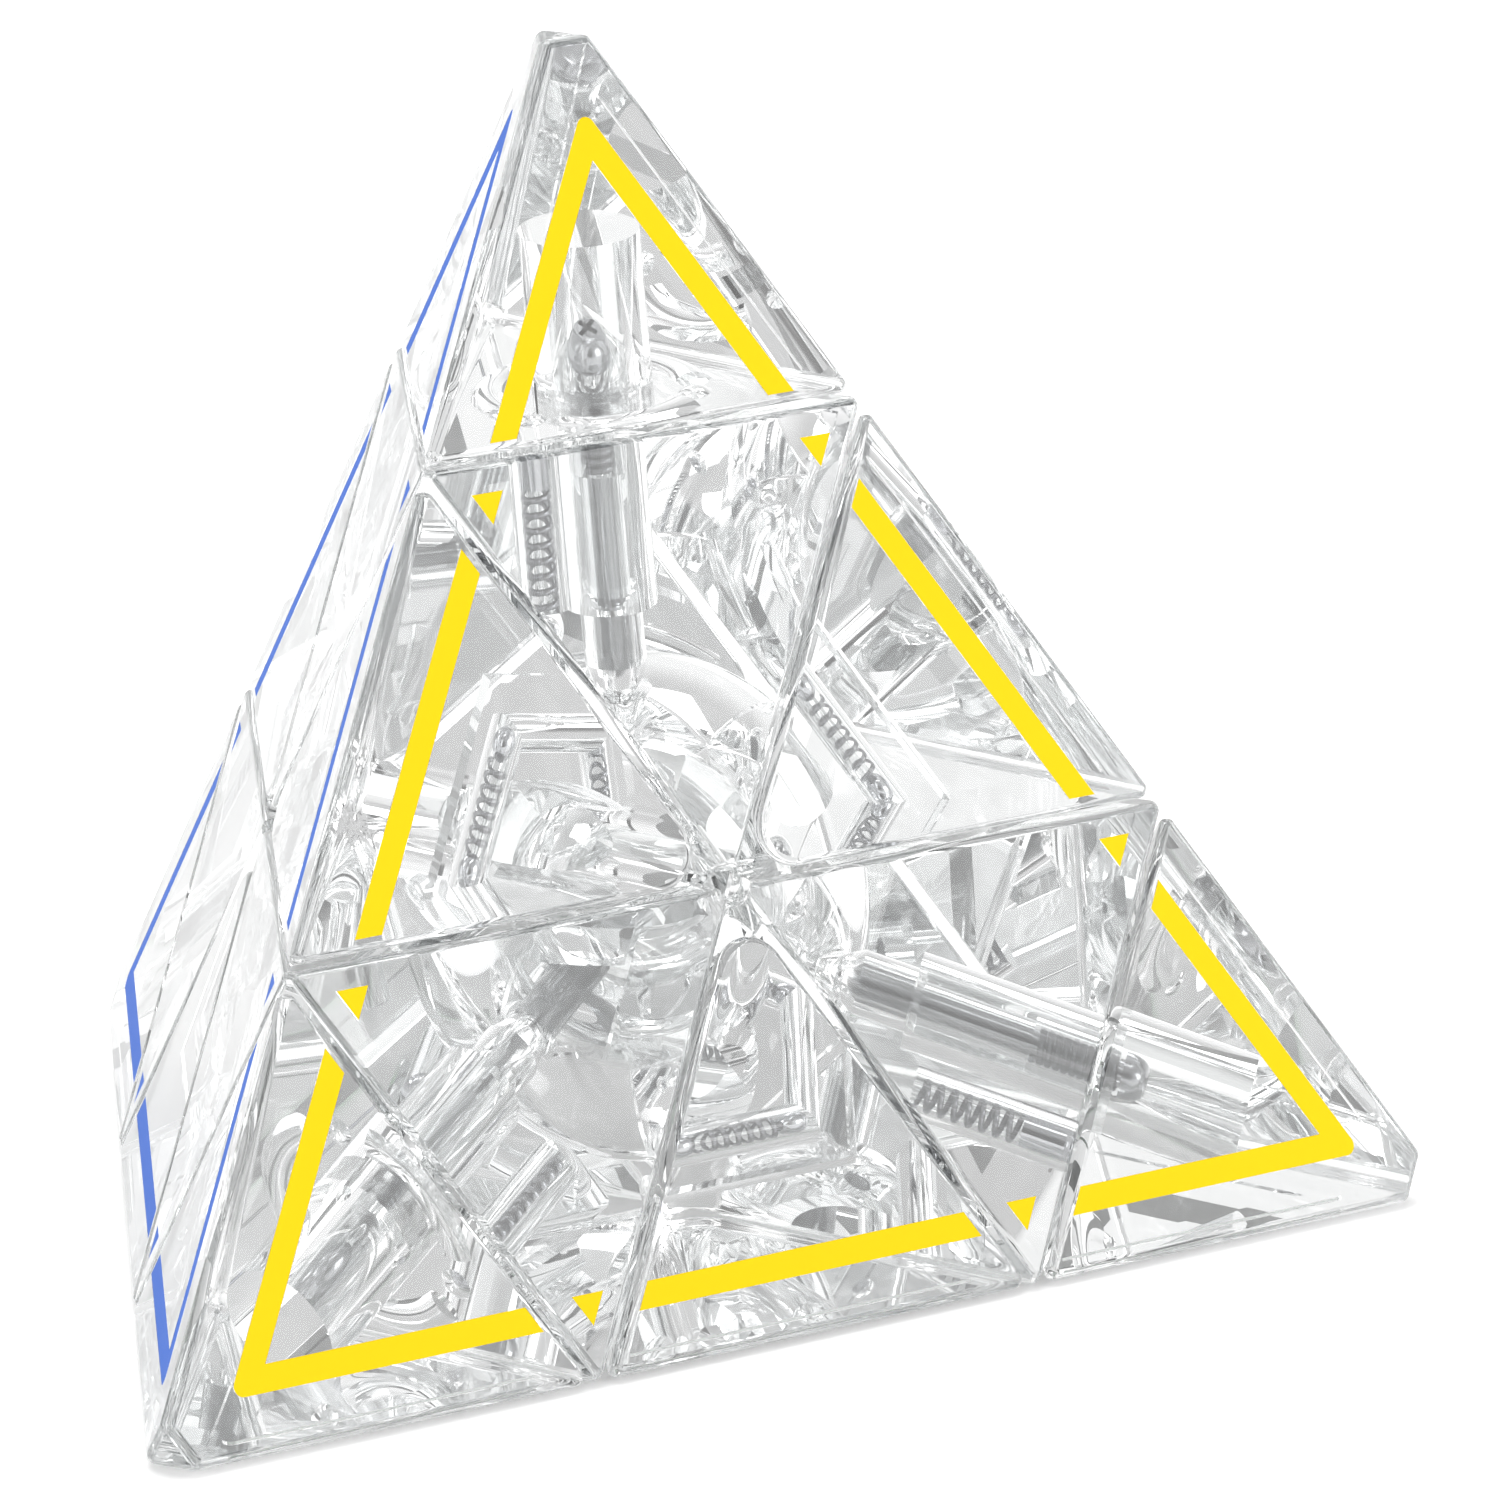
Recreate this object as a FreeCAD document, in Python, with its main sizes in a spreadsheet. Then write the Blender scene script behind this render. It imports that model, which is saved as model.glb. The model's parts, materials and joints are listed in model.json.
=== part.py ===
import FreeCAD
import Part
import Sketcher
import math
import os

# A clear pyramid puzzle: a tetrahedron cut into four tips, four axial pieces and six edge pieces,
# which turn on the arms of a core in the middle.
# The origin is the middle of the core, where the four turning axes cross.
# +Z runs up the top tip's axis, and -Y faces the yellow side.

Vec = FreeCAD.Vector
Placement = FreeCAD.Placement

os.makedirs("parts", exist_ok=True)
doc = FreeCAD.newDocument("pyramid_puzzle")

# ---------------------------------------------------------------- driving dimensions, mm and degrees
# "Along an axis" means the distance from the middle of the core towards a corner.

DIMENSIONS = (
    ("edge_length", "103.5", "edge of the tetrahedron, if its corners were sharp"),
    ("piece_gap", "0.3", "gap between neighbouring pieces"),
    ("corner_cut", "3.6", "sharp corner to the small flat that takes its place"),
    ("outer_round", "0.7", "rounding of the tetrahedron's edges and of that flat"),
    ("cut_round", "0.5", "rounding along the cuts"),
    ("axial_round", "0.6", "rounding of the axial pieces"),
    ("corner_round", "3.0", "rounding of an edge piece's inner corner"),
    ("relief_radius", "1.6", "hollow where six corners meet in the middle of a face"),
    ("relief_depth", "1.2", "that hollow's centre, below the face"),
    ("core_radius", "8.5", "ball of the core"),
    ("arm_radius", "2.1", "arm of the core"),
    ("arm_end", "20.8", "end of an arm, along its axis"),
    ("foot_inside", "8.9", "inner radius of the edge pieces' feet"),
    ("foot_outside", "16.6", "outer radius of the edge pieces' feet"),
    ("cavity_radius", "17.0", "hollow inside the axial pieces"),
    ("foot_relief", "17.3", "sphere inside which an edge piece keeps to its foot's planes"),
    ("foot_high", "1.2", "plane above which a layer's own feet stay, along its axis"),
    ("foot_low", "0.8", "plane below which the other feet stay, along that axis"),
    ("stem_radius", "3.35", "pivot tube"),
    ("stem_start", "21.0", "inner end of the pivot tube, along its axis"),
    ("stem_chamfer", "0.5", "chamfer at that end"),
    ("flange_radius", "4.4", "flange of the pivot tube, pressed into the tip"),
    ("flange_start", "35.12", "underside of the flange, along its axis"),
    ("flange_end", "36.6", "top of the flange, along its axis"),
    ("socket_end", "46.5", "end of the tip's socket, along its axis"),
    ("pivot_bore", "3.42", "bore in an axial piece for the pivot tube"),
    ("pivot_floor", "20.9", "bottom of that bore, along the axis"),
    ("arm_bore", "2.25", "hole below it for the core's arm"),
    ("screw_radius", "1.45", "shank of an axis screw"),
    ("screw_bore", "1.52", "bore in a pivot tube for the screw"),
    ("screw_start", "4.5", "inner end of a screw, along its axis"),
    ("head_start", "37.0", "underside of a screw's head, along its axis"),
    ("head_height", "1.9", "height of a screw's head"),
    ("head_radius", "2.5", "radius of a screw's head"),
    ("head_dome", "1.4", "rounding of a screw's head"),
    ("recess_length", "2.6", "arm length of the cross recess, end to end"),
    ("recess_width", "0.6", "width of the cross recess"),
    ("recess_depth", "0.9", "depth of the cross recess"),
    ("seat_start", "30.0", "seat of an axis spring, along its axis"),
    ("seat_radius", "2.15", "counterbore in a pivot tube for the spring"),
    ("axis_coil", "1.78", "mean coil radius of an axis spring"),
    ("axis_wire", "0.25", "wire radius of an axis spring"),
    ("axis_pitch", "0.62", "pitch of an axis spring"),
    ("click_offset", "7.5", "click pin's distance from the axis"),
    ("click_bore", "1.83", "bore for a click pin"),
    ("pin_radius", "1.75", "click pin"),
    ("pin_dome", "1.6", "rounding of a click pin's end"),
    ("click_start", "22.6", "bottom of a click pin's bore, along the axis"),
    ("pin_start", "31.0", "inner end of a click pin, along the axis"),
    ("click_reach", "0.35", "how far a pin or ball reaches into the piece opposite"),
    ("click_coil", "1.55", "mean coil radius of a click spring"),
    ("click_wire", "0.22", "wire radius of a click spring"),
    ("click_pitch", "1.05", "pitch of a click spring"),
    ("pin_dimple", "1.85", "section radius of the dimples for the pins"),
    ("pin_track", "1.95", "section radius of the tracks for the pins"),
    ("tip_track_start", "21", "start of a tip's track, from its dimple"),
    ("tip_track_turn", "78", "length of a tip's track"),
    ("channel_distance", "19.7", "middle of the core to the bore through an edge piece"),
    ("ball_radius", "1.22", "steel ball"),
    ("ball_bore", "1.3", "bore for the balls and their spring"),
    ("ball_dimple", "1.28", "section radius of the dimples for the balls"),
    ("ball_track", "1.38", "section radius of the tracks for the balls"),
    ("layer_track_start", "20", "start of a layer's track, from its dimple"),
    ("layer_track_turn", "20", "length of a layer's track"),
    ("edge_coil", "1.05", "mean coil radius of an edge piece's spring"),
    ("edge_wire", "0.18", "wire radius of an edge piece's spring"),
    ("edge_pitch", "0.95", "pitch of an edge piece's spring"),
    ("end_room", "1.1", "room at each end of a spring, in wire radii"),
    ("slot_distance", "23.3", "middle of the core to the slot behind an edge piece's bore"),
    ("slot_width", "0.8", "width of that slot, across the edge"),
    ("slot_depth", "0.5", "depth of that slot, towards the core"),
    ("sticker_offset", "4.15", "edge of a face to its coloured outline"),
    ("sticker_width", "1.8", "width of the coloured outline"),
    ("sticker_thickness", "0.12", "thickness of a sticker"),
    ("sticker_corner", "0.7", "outer corner of a tip's sticker"),
    ("tip_margin", "1.0", "tip cut to the sticker on the tip"),
    ("axial_tip_margin", "2.08", "tip cut to a sticker on an axial piece"),
    ("axial_layer_margin", "1.76", "layer cut to a sticker on an axial piece"),
    ("edge_margin", "1.19", "layer cut to the sticker on an edge piece"),
)

# What follows from them.
DERIVED = (
    ("tetra_height", "=edge_length * sqrt(2 / 3)", "height of the tetrahedron"),
    ("face_height", "=edge_length * sqrt(3) / 2", "height of one triangular face"),
    ("face_distance", "=tetra_height / 4", "middle of the core to each face"),
    ("layer_cut", "=tetra_height / 12", "cut under an axial piece, along its axis"),
    ("tip_cut", "=tetra_height * 5 / 12", "cut under a tip, along its axis"),
    ("tip_end", "=tetra_height * 3 / 4 - corner_cut", "flat at the corner, along its axis"),
    ("pin_end", "=tip_cut + piece_gap / 2 + click_reach", "outer end of a click pin"),
    ("pin_rest", "=pin_end - pin_radius", "middle of that round end"),
    ("ball_rest", "=layer_cut - piece_gap / 2 - click_reach + ball_radius",
     "middle of a ball, along the axis that it clicks against"),
    ("ball_slide", "=(channel_distance / sqrt(3) - ball_rest) / sqrt(2 / 3)",
     "middle of a ball, along the bore from its middle"),
    ("ball_ring", "=sqrt(channel_distance ^ 2 + ball_slide ^ 2 - ball_rest ^ 2)",
     "middle of a ball, from the axis that it clicks against"),
    ("edge_reach", "=ball_slide - ball_radius - end_room * edge_wire",
     "half length of an edge piece's spring"),
)

dims = doc.addObject("Spreadsheet::Sheet", "dims")
for row, (alias, value, note) in enumerate(DIMENSIONS + DERIVED, 1):
    dims.set(f"A{row}", alias)
    dims.set(f"B{row}", value)
    dims.set(f"C{row}", note)
    dims.setAlias(f"B{row}", alias)
doc.recompute()


def size(alias):
    return float(dims.get(alias))


# ---------------------------------------------------------------- directions and frames

TOP, LEFT, RIGHT, BACK = range(4)
CORNERS = ("top", "left", "right", "back")
SPAN = 4 * size("edge_length")
ASKEW = Vec(1, 2, 3)
SEEN = 1e-4


def four_directions(turns):
    """The directions of the four corners: one up, the others down at the given turns about it."""
    down = -1 / 3
    out = math.sqrt(8) / 3
    lower = [Vec(out * math.cos(math.radians(a)), out * math.sin(math.radians(a)), down) for a in turns]
    return [Vec(0, 0, 1)] + lower


# The puzzle's own corners, and those of the frame in which each kind of piece is drawn:
# its own corner is up, its first neighbour is towards +X, and the others follow anticlockwise.
CORNER = four_directions((210, 330, 90))
UP, FIRST, SECOND, THIRD = four_directions((0, 120, 240))


def frame(axis, towards):
    """The rotation that takes +Z to axis, and +X as near as it can to towards."""
    x = towards - axis * towards.dot(axis)
    x.normalize()
    return FreeCAD.Rotation(x, axis.cross(x), axis, "ZXY")


def place(own, first):
    """Where a piece goes, from its own corner and its first neighbour."""
    return Placement(Vec(), frame(CORNER[own], CORNER[first]))


def point(*distances):
    """The point at these distances along the drawing frame's four directions, which add up to 0.

    Each direction makes a third of each other one negative, so the sum is 4/3 too long.
    """
    total = Vec()
    for direction, distance in zip((UP, FIRST, SECOND, THIRD), distances):
        total += direction * distance * 3 / 4
    return total


EDGE_OUT = (UP + FIRST).normalize()
EDGE_ALONG = (FIRST - UP).normalize()
EDGE_TURN = frame(EDGE_ALONG, EDGE_OUT)

# ---------------------------------------------------------------- ways to make a shape


def half_space(direction, distance):
    box = Part.makeBox(SPAN, SPAN, SPAN, Vec(-SPAN / 2, -SPAN / 2, -SPAN))
    side = direction.cross(ASKEW)
    box.Placement = Placement(direction * distance, frame(direction, side))
    return box


def block(name, *planes):
    """A flat-sided block: all that lies below each plane, given as a direction and a distance."""
    shape = half_space(*planes[0])
    for plane in planes[1:]:
        shape = shape.common(half_space(*plane))
    feature = doc.addObject("Part::Feature", name)
    feature.Shape = shape.removeSplitter().Solids[0]
    return feature


def faces(*directions, inset=0.0):
    """The planes of the faces opposite these corners."""
    return [(direction * -1, size("face_distance") - inset) for direction in directions]


def primitive(kind, name, placement, **sizes):
    """A Part primitive whose sizes are bound to the sheet's expressions."""
    feature = doc.addObject("Part::" + kind, name)
    for key, expression in sizes.items():
        feature.setExpression(key, expression)
    feature.Placement = placement
    return feature


def at(position, rotation=FreeCAD.Rotation()):
    return Placement(position, rotation)


def boolean(kind, name, base, tool):
    feature = doc.addObject("Part::" + kind, name)
    feature.Base = base
    feature.Tool = tool
    return feature


def gathered(kind, name, members):
    feature = doc.addObject("Part::" + kind, name)
    if kind == "Compound":
        feature.Links = members
    else:
        feature.Shapes = members
    return feature


def lies_on(edge, direction, distance):
    middle = (edge.FirstParameter + edge.LastParameter) / 2
    places = [edge.valueAt(middle)] + [v.Point for v in edge.Vertexes]
    return all(abs(p.dot(direction) - distance) < SEEN for p in places)


def is_sharp(shape, edge):
    middle = edge.valueAt((edge.FirstParameter + edge.LastParameter) / 2)
    beside = [f for f in shape.Faces if any(e.isSame(edge) for e in f.Edges)]
    normals = [f.normalAt(*f.Surface.parameter(middle)) for f in beside]
    return abs(normals[0].dot(normals[1])) < 1 - SEEN


def fillet(name, base, alias, wanted):
    """Round the edges of base that wanted picks out."""
    doc.recompute()
    radius = size(alias)
    feature = doc.addObject("Part::Fillet", name)
    feature.Base = base
    feature.Edges = [(n, radius, radius) for n, e in enumerate(base.Shape.Edges, 1) if wanted(e)]
    doc.recompute()
    return feature


def turned(name, *corners):
    """A body turned about Z. Each corner is a radius and a height, as the sheet's expressions."""
    body = doc.addObject("PartDesign::Body", name)
    sketch = body.newObject("Sketcher::SketchObject", name + "_profile")
    planes = [f for f in body.Origin.OriginFeatures if f.Role == "XZ_Plane"]
    sketch.AttachmentSupport = (planes[0], [""])
    sketch.MapMode = "FlatFace"
    doc.recompute()
    values = [[sketch.evalExpression(text) for text in corner] for corner in corners]
    spots = [Vec(float(r), float(z), 0) for r, z in values]
    count = len(spots)
    for n in range(count):
        sketch.addGeometry(Part.LineSegment(spots[n], spots[(n + 1) % count]), False)
    for n in range(count):
        sketch.addConstraint(Sketcher.Constraint("Coincident", n, 2, (n + 1) % count, 1))
    for n, (radius, height) in enumerate(corners):
        if spots[n].x == 0:
            sketch.addConstraint(Sketcher.Constraint("PointOnObject", n, 1, -2))
        else:
            index = sketch.addConstraint(Sketcher.Constraint("DistanceX", -1, 1, n, 1, spots[n].x))
            sketch.setExpression(f"Constraints[{index}]", radius)
        index = sketch.addConstraint(Sketcher.Constraint("DistanceY", -1, 1, n, 1, spots[n].y))
        sketch.setExpression(f"Constraints[{index}]", height)
    turn = body.newObject("PartDesign::Revolution", name + "_turned")
    turn.Profile = sketch
    turn.ReferenceAxis = (sketch, ["V_Axis"])
    turn.Angle = 360
    doc.recompute()
    return body


def dressed(body, kind, name, expression_key, expression, wanted):
    """Add a fillet or a chamfer to a body, on the edges of its last feature that wanted picks out."""
    base = body.Tip
    feature = body.newObject("PartDesign::" + kind, name)
    picked = [f"Edge{n}" for n, e in enumerate(base.Shape.Edges, 1) if wanted(e)]
    feature.Base = (base, picked)
    feature.setExpression(expression_key, expression)
    doc.recompute()


def coil_drawing(name, coil, wire, pitch, length):
    """The wire's section and its path, for a spring that starts at z = 0."""
    path = doc.addObject("Part::Helix", name + "_path")
    path.setExpression("Radius", coil)
    path.setExpression("Pitch", pitch)
    path.setExpression("Height", length)
    section = doc.addObject("Part::Circle", name + "_section")
    section.setExpression("Radius", wire)
    section.setExpression(".Placement.Base.x", coil)
    section.Placement.Rotation = FreeCAD.Rotation(Vec(1, 0, 0), 90)
    return section, path


def coiled(name, drawing, placement):
    section, path = drawing
    spring = doc.addObject("Part::Sweep", name)
    spring.Sections = [section]
    spring.Spine = (path, ["Edge1"])
    spring.Solid = True
    spring.Frenet = True
    spring.Placement = placement
    return spring


# ---------------------------------------------------------------- planes that bound the pieces

half_gap = size("piece_gap") / 2
above_layer = size("layer_cut") + half_gap
below_layer = size("layer_cut") - half_gap
above_tip = size("tip_cut") + half_gap
below_tip = size("tip_cut") - half_gap
face = size("face_distance")
DOWN = UP * -1

relief_centre = face - size("relief_depth")


def relief(name, direction):
    """The hollow in the middle of the face opposite this corner."""
    return primitive("Sphere", name, at(direction * -relief_centre), Radius="dims.relief_radius")


# ---------------------------------------------------------------- stickers


def on_face(top, first, second):
    """A point of the face between the first three corners, from its shares of their heights."""
    return point(*[face * (4 * share - 1) for share in (top, first, second, 0)])


def share(alias):
    return size(alias) / size("face_height")


line_out = share("sticker_offset")
line_in = line_out + share("sticker_width")
tip_low = 2 / 3 + share("tip_margin")
axial_high = 2 / 3 - share("axial_tip_margin")
axial_side = 1 / 3 - share("axial_layer_margin")
edge_low = 1 / 3 + share("edge_margin")

V_OUTLINE = [
    (tip_low, 1 - tip_low - line_out, line_out),
    (1 - 2 * line_out, line_out, line_out),
    (tip_low, line_out, 1 - tip_low - line_out),
    (tip_low, line_in, 1 - tip_low - line_in),
    (1 - 2 * line_in, line_in, line_in),
    (tip_low, 1 - tip_low - line_in, line_in),
]
TRIANGLE_OUTLINE = [
    (axial_high, axial_side, 1 - axial_high - axial_side),
    (axial_high, 1 - axial_high - line_in, line_in),
    (1 - axial_side - line_in, axial_side, line_in),
]
MIRRORED_OUTLINE = [(top, second, first) for top, first, second in TRIANGLE_OUTLINE]
BAR_OUTLINE = [
    (1 - edge_low - line_out, edge_low, line_out),
    (edge_low, 1 - edge_low - line_out, line_out),
    (edge_low, 1 - edge_low - line_in, line_in),
    (1 - edge_low - line_in, edge_low, line_in),
]


def sticker(name, outline, placement):
    """A sticker let into the face between the first three corners."""
    wire = doc.addObject("Part::Polygon", name + "_outline")
    wire.Nodes = [on_face(*shares) for shares in outline]
    wire.Close = True
    wire.Placement = placement
    solid = doc.addObject("Part::Extrusion", name)
    solid.Base = wire
    solid.DirMode = "Custom"
    solid.Dir = placement.Rotation.multVec(THIRD)
    solid.setExpression("LengthFwd", "dims.sticker_thickness")
    solid.Solid = True
    if outline is not V_OUTLINE:
        return solid
    corner = placement.multVec(on_face(*V_OUTLINE[1]))
    line = Part.Line(corner, corner + solid.Dir)
    return fillet(name + "_rounded", solid, "sticker_corner",
                  lambda e: all(line.toShape().distToShape(v)[0] < SEEN for v in e.Vertexes))


# Each face has the colour of the corner that it lies opposite.
COLOUR = ("green", "red", "blue", "yellow")


def even(own, first, second):
    """Whether these three corners follow one another in the drawing frame's order."""
    turn = CORNER[own].dot(CORNER[first].cross(CORNER[second]))
    return turn > 0


def face_order(own, others, opposite):
    """The two other corners of a face, in the drawing frame's order."""
    first, second = [n for n in others if n != opposite]
    return (first, second) if even(own, first, second) else (second, first)


# ---------------------------------------------------------------- tips

tip_block = block("tip_block", (DOWN, -above_tip), (UP, size("tip_end")),
                  *faces(FIRST, SECOND, THIRD))
tip_outer = fillet("tip_outer", tip_block, "outer_round",
                   lambda e: not lies_on(e, UP, above_tip))
tip_rounded = fillet("tip_rounded", tip_outer, "cut_round",
                     lambda e: lies_on(e, UP, above_tip))

tip_hollows = [
    primitive("Cylinder", "tip_socket", at(Vec()),
              Radius="dims.flange_radius", Height="dims.socket_end"),
]
for n in range(3):
    spin = FreeCAD.Rotation(UP, 120 * n)
    start = FreeCAD.Rotation(UP, 120 * n + size("tip_track_start"))
    tip_hollows.append(primitive(
        "Sphere", f"tip_dimple_{n}", at(spin.multVec(Vec(size("click_offset"), 0, size("pin_rest")))),
        Radius="dims.pin_dimple"))
    tip_hollows.append(primitive(
        "Torus", f"tip_track_{n}", at(Vec(0, 0, size("pin_rest")), start),
        Radius1="dims.click_offset", Radius2="dims.pin_track", Angle3="dims.tip_track_turn"))
tip_blank = boolean("Cut", "tip_blank", tip_rounded, gathered("MultiFuse", "tip_hollow", tip_hollows))

around = [FreeCAD.Rotation(UP, 120 * n) for n in range(3)]
tip_pockets = gathered("Compound", "tip_pockets", [
    sticker(f"tip_pocket_{n}", V_OUTLINE, at(Vec(), turn)) for n, turn in enumerate(around)])

# ---------------------------------------------------------------- axial pieces

inset = size("axial_round")
axial_block = block(
    "axial_block",
    (UP, below_tip - inset),
    (DOWN, -above_layer - inset),
    (FIRST, below_layer - inset),
    (SECOND, below_layer - inset),
    (THIRD, below_layer - inset),
    *faces(FIRST, SECOND, THIRD, inset=inset))
axial_rounded = doc.addObject("Part::Offset", "axial_rounded")
axial_rounded.Source = axial_block
axial_rounded.setExpression("Value", "dims.axial_round")
axial_rounded.Join = "Arc"

whole_block = block("whole_block", *faces(UP, FIRST, SECOND, THIRD))
whole_rounded = fillet("whole_rounded", whole_block, "outer_round", lambda e: True)
axial_outer = boolean("Common", "axial_outer", axial_rounded, whole_rounded)

axial_hollows = [
    primitive("Sphere", "axial_cavity", at(Vec()), Radius="dims.cavity_radius"),
    primitive("Cylinder", "axial_arm_bore", at(Vec()), Radius="dims.arm_bore", Height="dims.tip_cut"),
    primitive("Cylinder", "axial_pivot_bore", at(UP * size("pivot_floor")),
              Radius="dims.pivot_bore", Height="dims.tip_cut - dims.pivot_floor"),
    primitive("Cylinder", "axial_click_bore", at(Vec(size("click_offset"), 0, size("click_start"))),
              Radius="dims.click_bore", Height="dims.tip_cut - dims.click_start"),
]
ball_spot = EDGE_OUT * size("channel_distance") - EDGE_ALONG * size("ball_slide")
for n, (turn, side) in enumerate(zip(around, (FIRST, SECOND, THIRD))):
    axial_hollows.append(primitive(
        "Sphere", f"axial_dimple_{n}", at(turn.multVec(ball_spot)), Radius="dims.ball_dimple"))
    for m, start in enumerate((size("layer_track_start"),
                               -size("layer_track_start") - size("layer_track_turn"))):
        axial_hollows.append(primitive(
            "Torus", f"axial_track_{n}_{m}",
            at(side * size("ball_rest"), frame(side, UP).multiply(FreeCAD.Rotation(UP, start))),
            Radius1="dims.ball_ring", Radius2="dims.ball_track", Angle3="dims.layer_track_turn"))
    axial_hollows.append(relief(f"axial_relief_{n}", side))
axial_blank = boolean("Cut", "axial_blank", axial_outer,
                      gathered("MultiFuse", "axial_hollow", axial_hollows))
axial_pockets = gathered("Compound", "axial_pockets", [
    sticker(f"axial_pocket_{n}_{m}", outline, at(Vec(), turn))
    for n, turn in enumerate(around)
    for m, outline in enumerate((TRIANGLE_OUTLINE, MIRRORED_OUTLINE))])

# ---------------------------------------------------------------- edge pieces

edge_block = block("edge_block", (DOWN, -above_layer), (FIRST * -1, -above_layer), *faces(SECOND, THIRD))
edge_inner = fillet("edge_inner", edge_block, "corner_round",
                    lambda e: lies_on(e, UP, above_layer) and lies_on(e, FIRST, above_layer))
edge_outer = fillet("edge_outer", edge_inner, "outer_round",
                    lambda e: lies_on(e, SECOND, -face) and lies_on(e, THIRD, -face))
edge_rounded = fillet("edge_rounded", edge_outer, "cut_round",
                      lambda e: is_sharp(edge_outer.Shape, e))

foot_planes = block("foot_planes", (DOWN, -size("foot_high")), (FIRST * -1, -size("foot_high")),
                    (SECOND, size("foot_low")), (THIRD, size("foot_low")))
foot_ball = primitive("Sphere", "foot_ball", at(Vec()), Radius="dims.foot_outside")
relief_ball = primitive("Sphere", "relief_ball", at(Vec()), Radius="dims.foot_relief")
edge_outside = boolean("Cut", "edge_outside", edge_rounded, relief_ball)
edge_filled = boolean("Fuse", "edge_filled", edge_rounded, foot_ball)
edge_foot = boolean("Common", "edge_foot", edge_filled, foot_planes)
edge_joined = boolean("Fuse", "edge_joined", edge_outside, edge_foot)
edge_joined.Refine = True

edge_hollows = [
    primitive("Sphere", "edge_core_room", at(Vec()), Radius="dims.foot_inside"),
    primitive("Cylinder", "edge_ball_bore",
              at(EDGE_OUT * size("channel_distance") - EDGE_ALONG * size("channel_distance"), EDGE_TURN),
              Radius="dims.ball_bore", Height="2 * dims.channel_distance"),
    primitive("Box", "edge_slot",
              at(EDGE_OUT * size("slot_distance")
                 + EDGE_TURN.multVec(Vec(-size("slot_depth"), -size("slot_width"), -SPAN) / 2), EDGE_TURN),
              Length="dims.slot_depth", Width="dims.slot_width", Height=str(SPAN)),
    relief("edge_relief_0", SECOND),
    relief("edge_relief_1", THIRD),
]
edge_blank = boolean("Cut", "edge_blank", edge_joined,
                     gathered("MultiFuse", "edge_hollow", edge_hollows))
edge_pockets = gathered("Compound", "edge_pockets", [
    sticker("edge_pocket_0", BAR_OUTLINE, at(Vec())),
    sticker("edge_pocket_1", BAR_OUTLINE, at(Vec(), frame(FIRST, UP)))])

# ---------------------------------------------------------------- the parts that go into parts/

nodes = {}


def keep(name, feature, placement=None):
    """Give a finished part its name, and its place if it has none."""
    feature.Label = name
    if placement is not None:
        feature.Placement = placement
    nodes[name] = feature


# Each corner and the neighbour that its click pin lies towards.
AXES = ((TOP, LEFT), (LEFT, RIGHT), (RIGHT, LEFT), (BACK, RIGHT))
EDGES = ((TOP, LEFT), (TOP, RIGHT), (TOP, BACK), (LEFT, RIGHT), (RIGHT, BACK), (BACK, LEFT))
ALL = set(range(4))

for own, first in AXES:
    corner = CORNERS[own]
    keep("tip_" + corner, boolean("Cut", "tip_" + corner, tip_blank, tip_pockets), place(own, first))
    keep("axial_" + corner, boolean("Cut", "axial_" + corner, axial_blank, axial_pockets),
         place(own, first))


def edge_name(own, first):
    """An edge piece is named by the colours of its two faces."""
    return "_".join(COLOUR[n] for n in sorted(ALL - {own, first}, reverse=True))


for own, first in EDGES:
    name = "edge_" + edge_name(own, first)
    keep(name, boolean("Cut", name, edge_blank, edge_pockets), place(own, first))

# The core: a ball with an arm along each axis, bored for the screws.
arms = []
bores = []
for own, first in AXES:
    arms.append(primitive("Cylinder", f"core_arm_{own}", place(own, first),
                          Radius="dims.arm_radius", Height="dims.arm_end"))
    bores.append(primitive("Cylinder", f"core_bore_{own}",
                           place(own, first).multiply(at(UP * size("screw_start"))),
                           Radius="dims.screw_radius", Height="dims.arm_end"))
core_ball = primitive("Sphere", "core_ball", at(Vec()), Radius="dims.core_radius")
core_solid = gathered("MultiFuse", "core_solid", [core_ball] + arms)
keep("core", boolean("Cut", "core", core_solid, gathered("MultiFuse", "core_bores", bores)))

# Axis screws, with a domed head and a cross recess.
head_end = "dims.head_start + dims.head_height"
screw_body = turned(
    "screw_body", ("0", "dims.screw_start"), ("dims.screw_radius", "dims.screw_start"),
    ("dims.screw_radius", "dims.head_start"), ("dims.head_radius", "dims.head_start"),
    ("dims.head_radius", head_end), ("0", head_end))
head_top = size("head_start") + size("head_height")
dressed(screw_body, "Fillet", "screw_dome", "Radius", "dims.head_dome",
        lambda e: lies_on(e, UP, head_top))
recess_arms = []
for n, (long_side, short_side) in enumerate((("Length", "Width"), ("Width", "Length"))):
    half = {long_side: size("recess_length") / 2, short_side: size("recess_width") / 2}
    corner = Vec(-half["Length"], -half["Width"], head_top - size("recess_depth"))
    recess_arms.append(primitive("Box", f"recess_{n}", at(corner), Height="dims.recess_depth",
                                 **{long_side: "dims.recess_length", short_side: "dims.recess_width"}))
screw_recess = gathered("MultiFuse", "screw_recess", recess_arms)
screws = []
for own, first in AXES:
    screw = boolean("Cut", "screw_" + CORNERS[own], screw_body, screw_recess)
    screw.Placement = place(own, first)
    screws.append(screw)
keep("axis_screws", gathered("Compound", "axis_screws", screws))

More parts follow.
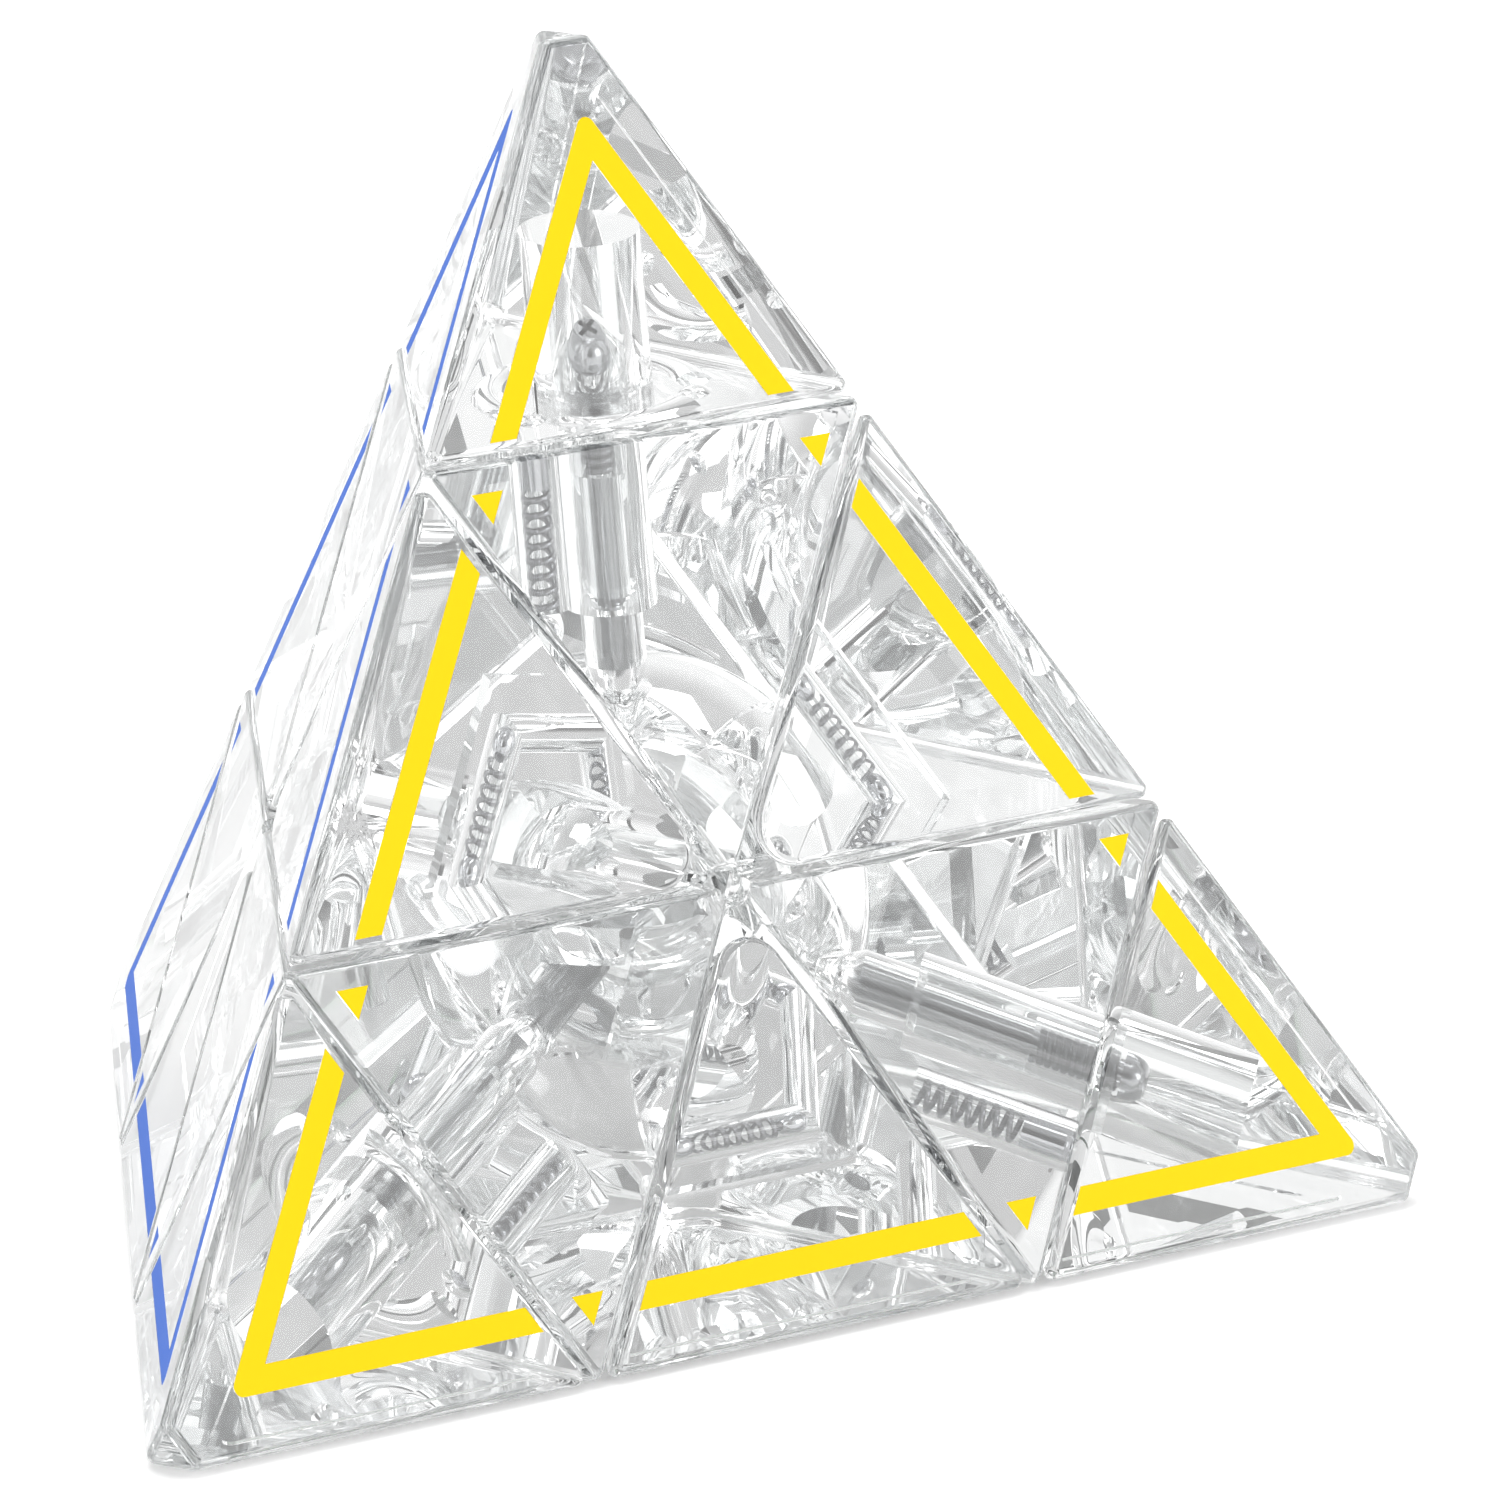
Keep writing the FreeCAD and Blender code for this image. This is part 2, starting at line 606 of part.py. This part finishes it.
# Pivot tubes: the screw runs through each one, and its spring sits in the counterbore.
for own, first in AXES:
    name = "pivot_tube_" + CORNERS[own]
    tube = turned(
        name,
        ("dims.screw_bore", "dims.stem_start"),
        ("dims.stem_radius - dims.stem_chamfer", "dims.stem_start"),
        ("dims.stem_radius", "dims.stem_start + dims.stem_chamfer"),
        ("dims.stem_radius", "dims.flange_start"),
        ("dims.flange_radius", "dims.flange_start"),
        ("dims.flange_radius", "dims.flange_end"),
        ("dims.seat_radius", "dims.flange_end"),
        ("dims.seat_radius", "dims.seat_start"),
        ("dims.screw_bore", "dims.seat_start"))
    keep(name, tube, place(own, first))

# Axis springs, from the seat in the pivot tube to the screw's head.
axis_drawing = coil_drawing(
    "axis_coil", "dims.axis_coil", "dims.axis_wire", "dims.axis_pitch",
    "dims.head_start - dims.seat_start - 2 * dims.end_room * dims.axis_wire")
axis_lift = at(UP * (size("seat_start") + size("end_room") * size("axis_wire")))
keep("axis_springs", gathered("Compound", "axis_springs", [
    coiled("axis_spring_" + CORNERS[own], axis_drawing, place(own, first).multiply(axis_lift))
    for own, first in AXES]))

# Click pins and their springs, beside the screws.
click_spot = Vec(size("click_offset"), 0, 0)
for own, first in AXES:
    name = "click_pin_" + CORNERS[own]
    pin = turned(name, ("0", "dims.pin_start"), ("dims.pin_radius", "dims.pin_start"),
                 ("dims.pin_radius", "dims.pin_end"), ("0", "dims.pin_end"))
    dressed(pin, "Fillet", name + "_dome", "Radius", "dims.pin_dome",
            lambda e: lies_on(e, UP, size("pin_end")))
    keep(name, pin, place(own, first).multiply(at(click_spot)))

click_drawing = coil_drawing(
    "click_coil", "dims.click_coil", "dims.click_wire", "dims.click_pitch",
    "dims.pin_start - dims.click_start - 2 * dims.end_room * dims.click_wire")
click_lift = at(click_spot + UP * (size("click_start") + size("end_room") * size("click_wire")))
click_springs = [
    coiled("click_spring_" + CORNERS[own], click_drawing, place(own, first).multiply(click_lift))
    for own, first in AXES]
keep("click_spring_top", gathered("Compound", "click_spring_upper", click_springs[:1]))
keep("click_springs_lower", gathered("Compound", "click_springs_lower", click_springs[1:]))

# Balls and springs in the edge pieces' bores.
edge_drawing = coil_drawing("edge_coil", "dims.edge_coil", "dims.edge_wire", "dims.edge_pitch",
                            "2 * dims.edge_reach")
edge_start = at(EDGE_OUT * size("channel_distance") - EDGE_ALONG * size("edge_reach"), EDGE_TURN)
edge_springs = []
for own, first in EDGES:
    name = edge_name(own, first)
    edge_springs.append(coiled("edge_spring_" + name, edge_drawing,
                               place(own, first).multiply(edge_start)))
    for corner, sign in ((own, -1), (first, 1)):
        spot = EDGE_OUT * size("channel_distance") + EDGE_ALONG * size("ball_slide") * sign
        keep(f"ball_{name}_{CORNERS[corner]}", primitive(
            "Sphere", f"ball_{name}_{CORNERS[corner]}", at(place(own, first).multVec(spot)),
            Radius="dims.ball_radius"))
keep("edge_springs_upper", gathered("Compound", "edge_springs_upper", edge_springs[:3]))
keep("edge_springs_lower", gathered("Compound", "edge_springs_lower", edge_springs[3:]))

# Stickers, by colour and by the part that they turn with.
groups = {}
for own in range(4):
    for opposite in sorted(ALL - {own}):
        first, second = face_order(own, ALL - {own}, opposite)
        colour = COLOUR[opposite]
        tag = f"{colour}_{CORNERS[own]}"
        where = place(own, first)
        groups[f"stickers_{colour}_tip_{CORNERS[own]}"] = [sticker("v_" + tag, V_OUTLINE, where)]
        layer = "upper" if own == TOP else "lower"
        groups.setdefault(f"stickers_{colour}_{layer}", []).extend([
            sticker("near_" + tag, TRIANGLE_OUTLINE, where),
            sticker("far_" + tag, MIRRORED_OUTLINE, where)])
for own, first in EDGES:
    layer = "upper" if own == TOP else "lower"
    for opposite in sorted(ALL - {own, first}):
        second = (ALL - {own, first, opposite}).pop()
        pair = (own, first) if even(own, first, second) else (first, own)
        colour = COLOUR[opposite]
        groups.setdefault(f"stickers_{colour}_{layer}", []).append(
            sticker(f"bar_{colour}_{edge_name(own, first)}", BAR_OUTLINE, place(*pair)))
for name, members in groups.items():
    keep(name, gathered("Compound", name, members))

# ---------------------------------------------------------------- checks and files

doc.recompute()
for item in doc.Objects:
    if "Invalid" in item.State or "Error" in item.State:
        raise RuntimeError(f"{item.Name} is {item.State}")
for name, feature in nodes.items():
    shape = feature.Shape
    if shape.isNull() or not shape.isValid() or not shape.Solids:
        raise RuntimeError(f"{name} has no valid solid")
    shape.exportStep(f"parts/{name}.step")
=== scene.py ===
import json
import math

import bmesh
import bpy
from mathutils import Matrix, Vector

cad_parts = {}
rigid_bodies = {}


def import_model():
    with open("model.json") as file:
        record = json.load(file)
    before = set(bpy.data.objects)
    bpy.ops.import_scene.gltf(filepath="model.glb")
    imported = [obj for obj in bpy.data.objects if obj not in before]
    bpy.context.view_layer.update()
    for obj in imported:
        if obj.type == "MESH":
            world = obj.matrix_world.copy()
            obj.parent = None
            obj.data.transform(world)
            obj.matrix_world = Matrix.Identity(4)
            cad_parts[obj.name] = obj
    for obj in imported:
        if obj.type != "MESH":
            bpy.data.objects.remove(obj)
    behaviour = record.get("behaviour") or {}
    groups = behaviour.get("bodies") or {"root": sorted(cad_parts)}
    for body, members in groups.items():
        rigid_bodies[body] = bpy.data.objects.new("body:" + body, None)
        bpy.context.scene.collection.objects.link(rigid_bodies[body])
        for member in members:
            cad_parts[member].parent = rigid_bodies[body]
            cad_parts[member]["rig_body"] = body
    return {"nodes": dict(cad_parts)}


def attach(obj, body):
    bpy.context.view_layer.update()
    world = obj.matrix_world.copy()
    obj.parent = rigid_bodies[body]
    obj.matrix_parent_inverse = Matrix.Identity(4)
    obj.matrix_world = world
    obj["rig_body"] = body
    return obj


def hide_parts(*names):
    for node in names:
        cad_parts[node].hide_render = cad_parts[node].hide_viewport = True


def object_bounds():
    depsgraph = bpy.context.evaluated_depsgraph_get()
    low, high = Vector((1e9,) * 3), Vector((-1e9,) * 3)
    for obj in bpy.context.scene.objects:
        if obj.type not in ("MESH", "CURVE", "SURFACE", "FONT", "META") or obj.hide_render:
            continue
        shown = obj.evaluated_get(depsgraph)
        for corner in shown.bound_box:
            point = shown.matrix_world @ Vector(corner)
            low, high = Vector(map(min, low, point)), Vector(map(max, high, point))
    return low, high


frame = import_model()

# A clear pyramid puzzle: clear plastic pieces round a core, with steel screws, springs and balls
# inside and thin coloured stickers outside. Metres; +Z runs up the top tip's axis.

MM = 0.001
AIR = 0.02 * MM
FLOOR_GAP = 0.3 * MM
cad_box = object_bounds()
scene = bpy.context.scene
nodes = frame["nodes"]

# ---------------------------------------------------------------- colours

CLEAR_PLASTIC = "#F0F1F1"
STEEL = "#B4B5B7"
SPRING_STEEL = "#96979A"
CHROME = "#C4C5C8"
BACKING = "#F4F4F4"
YELLOW = "#F0CF00"
BLUE = "#2A66CC"
RED = "#D2232A"
GREEN = "#169B45"
FLOOR = "#FAFAFA"


def linear(hex_colour):
    """An sRGB hex colour as linear RGBA."""
    out = []
    for start in (1, 3, 5):
        value = int(hex_colour[start:start + 2], 16) / 255
        out.append(value / 12.92 if value <= 0.04045 else ((value + 0.055) / 1.055) ** 2.4)
    return (*out, 1.0)


# ---------------------------------------------------------------- materials

SHRINK_WAVE = 9 * MM
ORANGE_PEEL = 0.6 * MM


def add(tree, kind, settings=None, links=None):
    """Add a node. Settings are properties or plain socket values, links are {socket: output}."""
    node = tree.nodes.new(kind)
    for key, value in (settings or {}).items():
        if hasattr(node, key):
            setattr(node, key, value)
        else:
            node.inputs[key].default_value = value
    for key, output in (links or {}).items():
        tree.links.new(output, node.inputs[key])
    return node


def material(name, **values):
    """A new material and its Principled shader, with these plain socket values."""
    made = bpy.data.materials.new(name)
    made.use_nodes = True
    shader = made.node_tree.nodes["Principled BSDF"]
    for key, value in values.items():
        shader.inputs[key.replace("_", " ")].default_value = value
    return made, made.node_tree, shader


def clear_plastic():
    """Injection-moulded clear styrene: polished like glass, slightly wavy where it shrank."""
    made, tree, shader = material(
        "clear_styrene", Base_Color=linear(CLEAR_PLASTIC), Transmission_Weight=1.0, IOR=1.55,
        Roughness=0.0)
    place = add(tree, "ShaderNodeTexCoord").outputs["Object"]
    wave = add(tree, "ShaderNodeTexNoise", {"Scale": 1 / SHRINK_WAVE, "Detail": 1.0}, {"Vector": place})
    bump = add(tree, "ShaderNodeBump", {"Strength": 0.1, "Distance": 0.02 * MM},
               {"Height": wave.outputs["Fac"]})
    tree.links.new(bump.outputs["Normal"], shader.inputs["Normal"])
    return made


def steel(name, colour, low, high, grain):
    """Bright steel whose gloss varies along fine marks, grain apart."""
    made, tree, shader = material(name, Base_Color=linear(colour), Metallic=1.0)
    place = add(tree, "ShaderNodeTexCoord").outputs["Object"]
    marks = add(tree, "ShaderNodeTexNoise", {"Scale": 1 / grain, "Detail": 3.0}, {"Vector": place})
    gloss = add(tree, "ShaderNodeMapRange", {"To Min": low, "To Max": high},
                {"Value": marks.outputs["Fac"]})
    tree.links.new(gloss.outputs["Result"], shader.inputs["Roughness"])
    return made


def sticker_film(name, colour):
    """Coloured vinyl film, smooth with a faint orange-peel surface."""
    made, tree, shader = material(name, Base_Color=linear(colour), Roughness=0.5, Specular_IOR_Level=0.1)
    place = add(tree, "ShaderNodeTexCoord").outputs["Object"]
    peel = add(tree, "ShaderNodeTexNoise", {"Scale": 1 / ORANGE_PEEL, "Detail": 2.0}, {"Vector": place})
    bump = add(tree, "ShaderNodeBump", {"Strength": 0.1, "Distance": 0.01 * MM},
               {"Height": peel.outputs["Fac"]})
    tree.links.new(bump.outputs["Normal"], shader.inputs["Normal"])
    return made


FINISH = {
    "clear_plastic": clear_plastic(),
    "screw_steel": steel("zinc_plated_steel", STEEL, 0.12, 0.28, 0.8 * MM),
    "spring_steel": steel("drawn_spring_wire", SPRING_STEEL, 0.15, 0.3, 0.4 * MM),
    "ball_steel": steel("polished_bearing_steel", CHROME, 0.04, 0.1, 0.5 * MM),
    "sticker_yellow": sticker_film("yellow_vinyl", YELLOW),
    "sticker_blue": sticker_film("blue_vinyl", BLUE),
    "sticker_red": sticker_film("red_vinyl", RED),
    "sticker_green": sticker_film("green_vinyl", GREEN),
    "sticker_backing": sticker_film("white_backing", BACKING),
}

for node in nodes.values():
    for place in node.material_slots:
        for slot, made in FINISH.items():
            if place.material.name.startswith(slot):
                place.material = made
                break

# ---------------------------------------------------------------- stickers
# Each sticker keeps a hair of air under it, so that its colour can't be seen from inside the plastic.

WELD = 0.001 * MM
NEARLY_FLUSH = 0.98


def face_normal(turn):
    """The outward normal of the upright face that looks this way, in degrees about Z."""
    out = math.sqrt(8) / 3
    return Vector((math.cos(math.radians(turn)) * out, math.sin(math.radians(turn)) * out, 1 / 3))


FACE_NORMALS = [Vector((0, 0, -1))] + [face_normal(turn) for turn in (30, 150, 270)]


def lifted(node_name):
    """A copy of a sticker, a hair smaller all round, with its white backing towards the plastic."""
    node = nodes[node_name]
    made = bpy.data.meshes.new(node_name + "_film")
    mesh = bmesh.new()
    mesh.from_mesh(node.data)
    bmesh.ops.remove_doubles(mesh, verts=mesh.verts, dist=WELD)
    bmesh.ops.recalc_face_normals(mesh, faces=mesh.faces)
    mesh.normal_update()
    for f in mesh.faces:
        f.material_index = 0 if max(f.normal.dot(n) for n in FACE_NORMALS) > NEARLY_FLUSH else 1
    inwards = [v.normal * -AIR for v in mesh.verts]
    for v, step in zip(mesh.verts, inwards):
        v.co += step
    mesh.to_mesh(made)
    mesh.free()
    made.materials.append(node.material_slots[0].material)
    made.materials.append(FINISH["sticker_backing"])
    piece = bpy.data.objects.new(node_name + "_film", made)
    scene.collection.objects.link(piece)
    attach(piece, node["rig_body"])
    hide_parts(node_name)
    return piece


for name in sorted(nodes):
    if name.startswith("stickers_"):
        lifted(name)

# ---------------------------------------------------------------- floor and surroundings
# The lowest stickers hold the plastic a hair off the floor, so its underside mirrors as it does in air.

FLOOR_HALF = 4.0
FLOOR_GLOW = 0.26
HORIZON = 0.9
CEILING = 0.55
DARK_SIDE = 0.1


def table():
    """A wide white table that glows faintly, as acrylic does when it is lit from below."""
    height = cad_box[0].z - FLOOR_GAP
    outline = [(x * FLOOR_HALF, y * FLOOR_HALF, height) for x, y in ((-1, -1), (1, -1), (1, 1), (-1, 1))]
    mesh = bpy.data.meshes.new("floor")
    mesh.from_pydata(outline, [], [(0, 1, 2, 3)])
    mesh.materials.append(material(
        "lit_acrylic_table", Base_Color=linear(FLOOR), Roughness=0.6, Emission_Color=linear(FLOOR),
        Emission_Strength=FLOOR_GLOW)[0])
    floor = bpy.data.objects.new("floor", mesh)
    scene.collection.objects.link(floor)


def studio():
    """A pale studio: grey overhead, and dark behind the camera, so bright steel has something to mirror."""
    world = bpy.data.worlds.new("studio")
    world.use_nodes = True
    tree = world.node_tree
    direction = add(tree, "ShaderNodeTexCoord").outputs["Generated"]
    height = add(tree, "ShaderNodeSeparateXYZ", links={"Vector": direction}).outputs["Z"]
    ceiling = add(tree, "ShaderNodeMapRange",
                  {"From Min": 0.35, "From Max": 0.75, "To Min": HORIZON, "To Max": CEILING},
                  {"Value": height})
    towards = add(tree, "ShaderNodeVectorMath", {"operation": "DOT_PRODUCT"}, {0: direction})
    towards.inputs[1].default_value = BEHIND_CAMERA
    dark_side = add(tree, "ShaderNodeMapRange",
                    {"From Min": 0.85, "From Max": 0.97, "To Min": 1.0, "To Max": DARK_SIDE},
                    {"Value": towards.outputs["Value"]})
    shade = add(tree, "ShaderNodeMath", {"operation": "MULTIPLY"},
                {0: ceiling.outputs["Result"], 1: dark_side.outputs["Result"]})
    tree.links.new(shade.outputs["Value"], tree.nodes["Background"].inputs["Color"])
    scene.world = world


def softbox(name, position, target, width, height, power):
    """A soft rectangular lamp that looks from position towards target."""
    light = bpy.data.lights.new(name, "AREA")
    light.shape = "RECTANGLE"
    light.size = width
    light.size_y = height
    light.energy = power
    lamp = bpy.data.objects.new(name, light)
    lamp.location = position
    lamp.rotation_mode = "QUATERNION"
    lamp.rotation_quaternion = (Vector(target) - Vector(position)).to_track_quat("-Z", "Y")
    scene.collection.objects.link(lamp)


# ---------------------------------------------------------------- camera
# It stands at the left of the yellow side, a little above the puzzle, with a long lens.

EYE = (-0.4408, -0.6716, 0.2388)
AIM = (0.5401, 0.7963, -0.2724)
BEHIND_CAMERA = (-0.54, -0.80, 0.27)
ROLL = math.radians(-0.38)
LENS = 303.4
SENSOR = 36


def viewer():
    """The camera, rolled very slightly about its own line of sight."""
    camera = bpy.data.cameras.new("camera")
    camera.lens = LENS
    camera.sensor_width = SENSOR
    camera.clip_end = 20
    eye = bpy.data.objects.new("camera", camera)
    scene.collection.objects.link(eye)
    eye.location = EYE
    eye.rotation_mode = "QUATERNION"
    level = Vector(AIM).to_track_quat("-Z", "Y")
    eye.rotation_quaternion = level @ Matrix.Rotation(ROLL, 4, "Z").to_quaternion()
    scene.camera = eye


table()
studio()
softbox("overhead_softbox", (0, 0.3, 1.6), (0, 0.1, 0), 1.2, 1.2, 14)
softbox("left_softbox", (-1.2, -0.6, 0.7), (0, 0, 0), 0.7, 1.0, 3)
softbox("right_softbox", (0.70, -1.03, 0.38), (0, 0, 0), 0.9, 0.7, 6)
viewer()

# Light crosses dozens of clear walls before it leaves the puzzle.
CLEAR_BOUNCES = 32
scene.view_settings.view_transform = "Standard"
scene.cycles.max_bounces = CLEAR_BOUNCES
scene.cycles.transmission_bounces = CLEAR_BOUNCES
scene.cycles.glossy_bounces = CLEAR_BOUNCES
scene.cycles.diffuse_bounces = 8
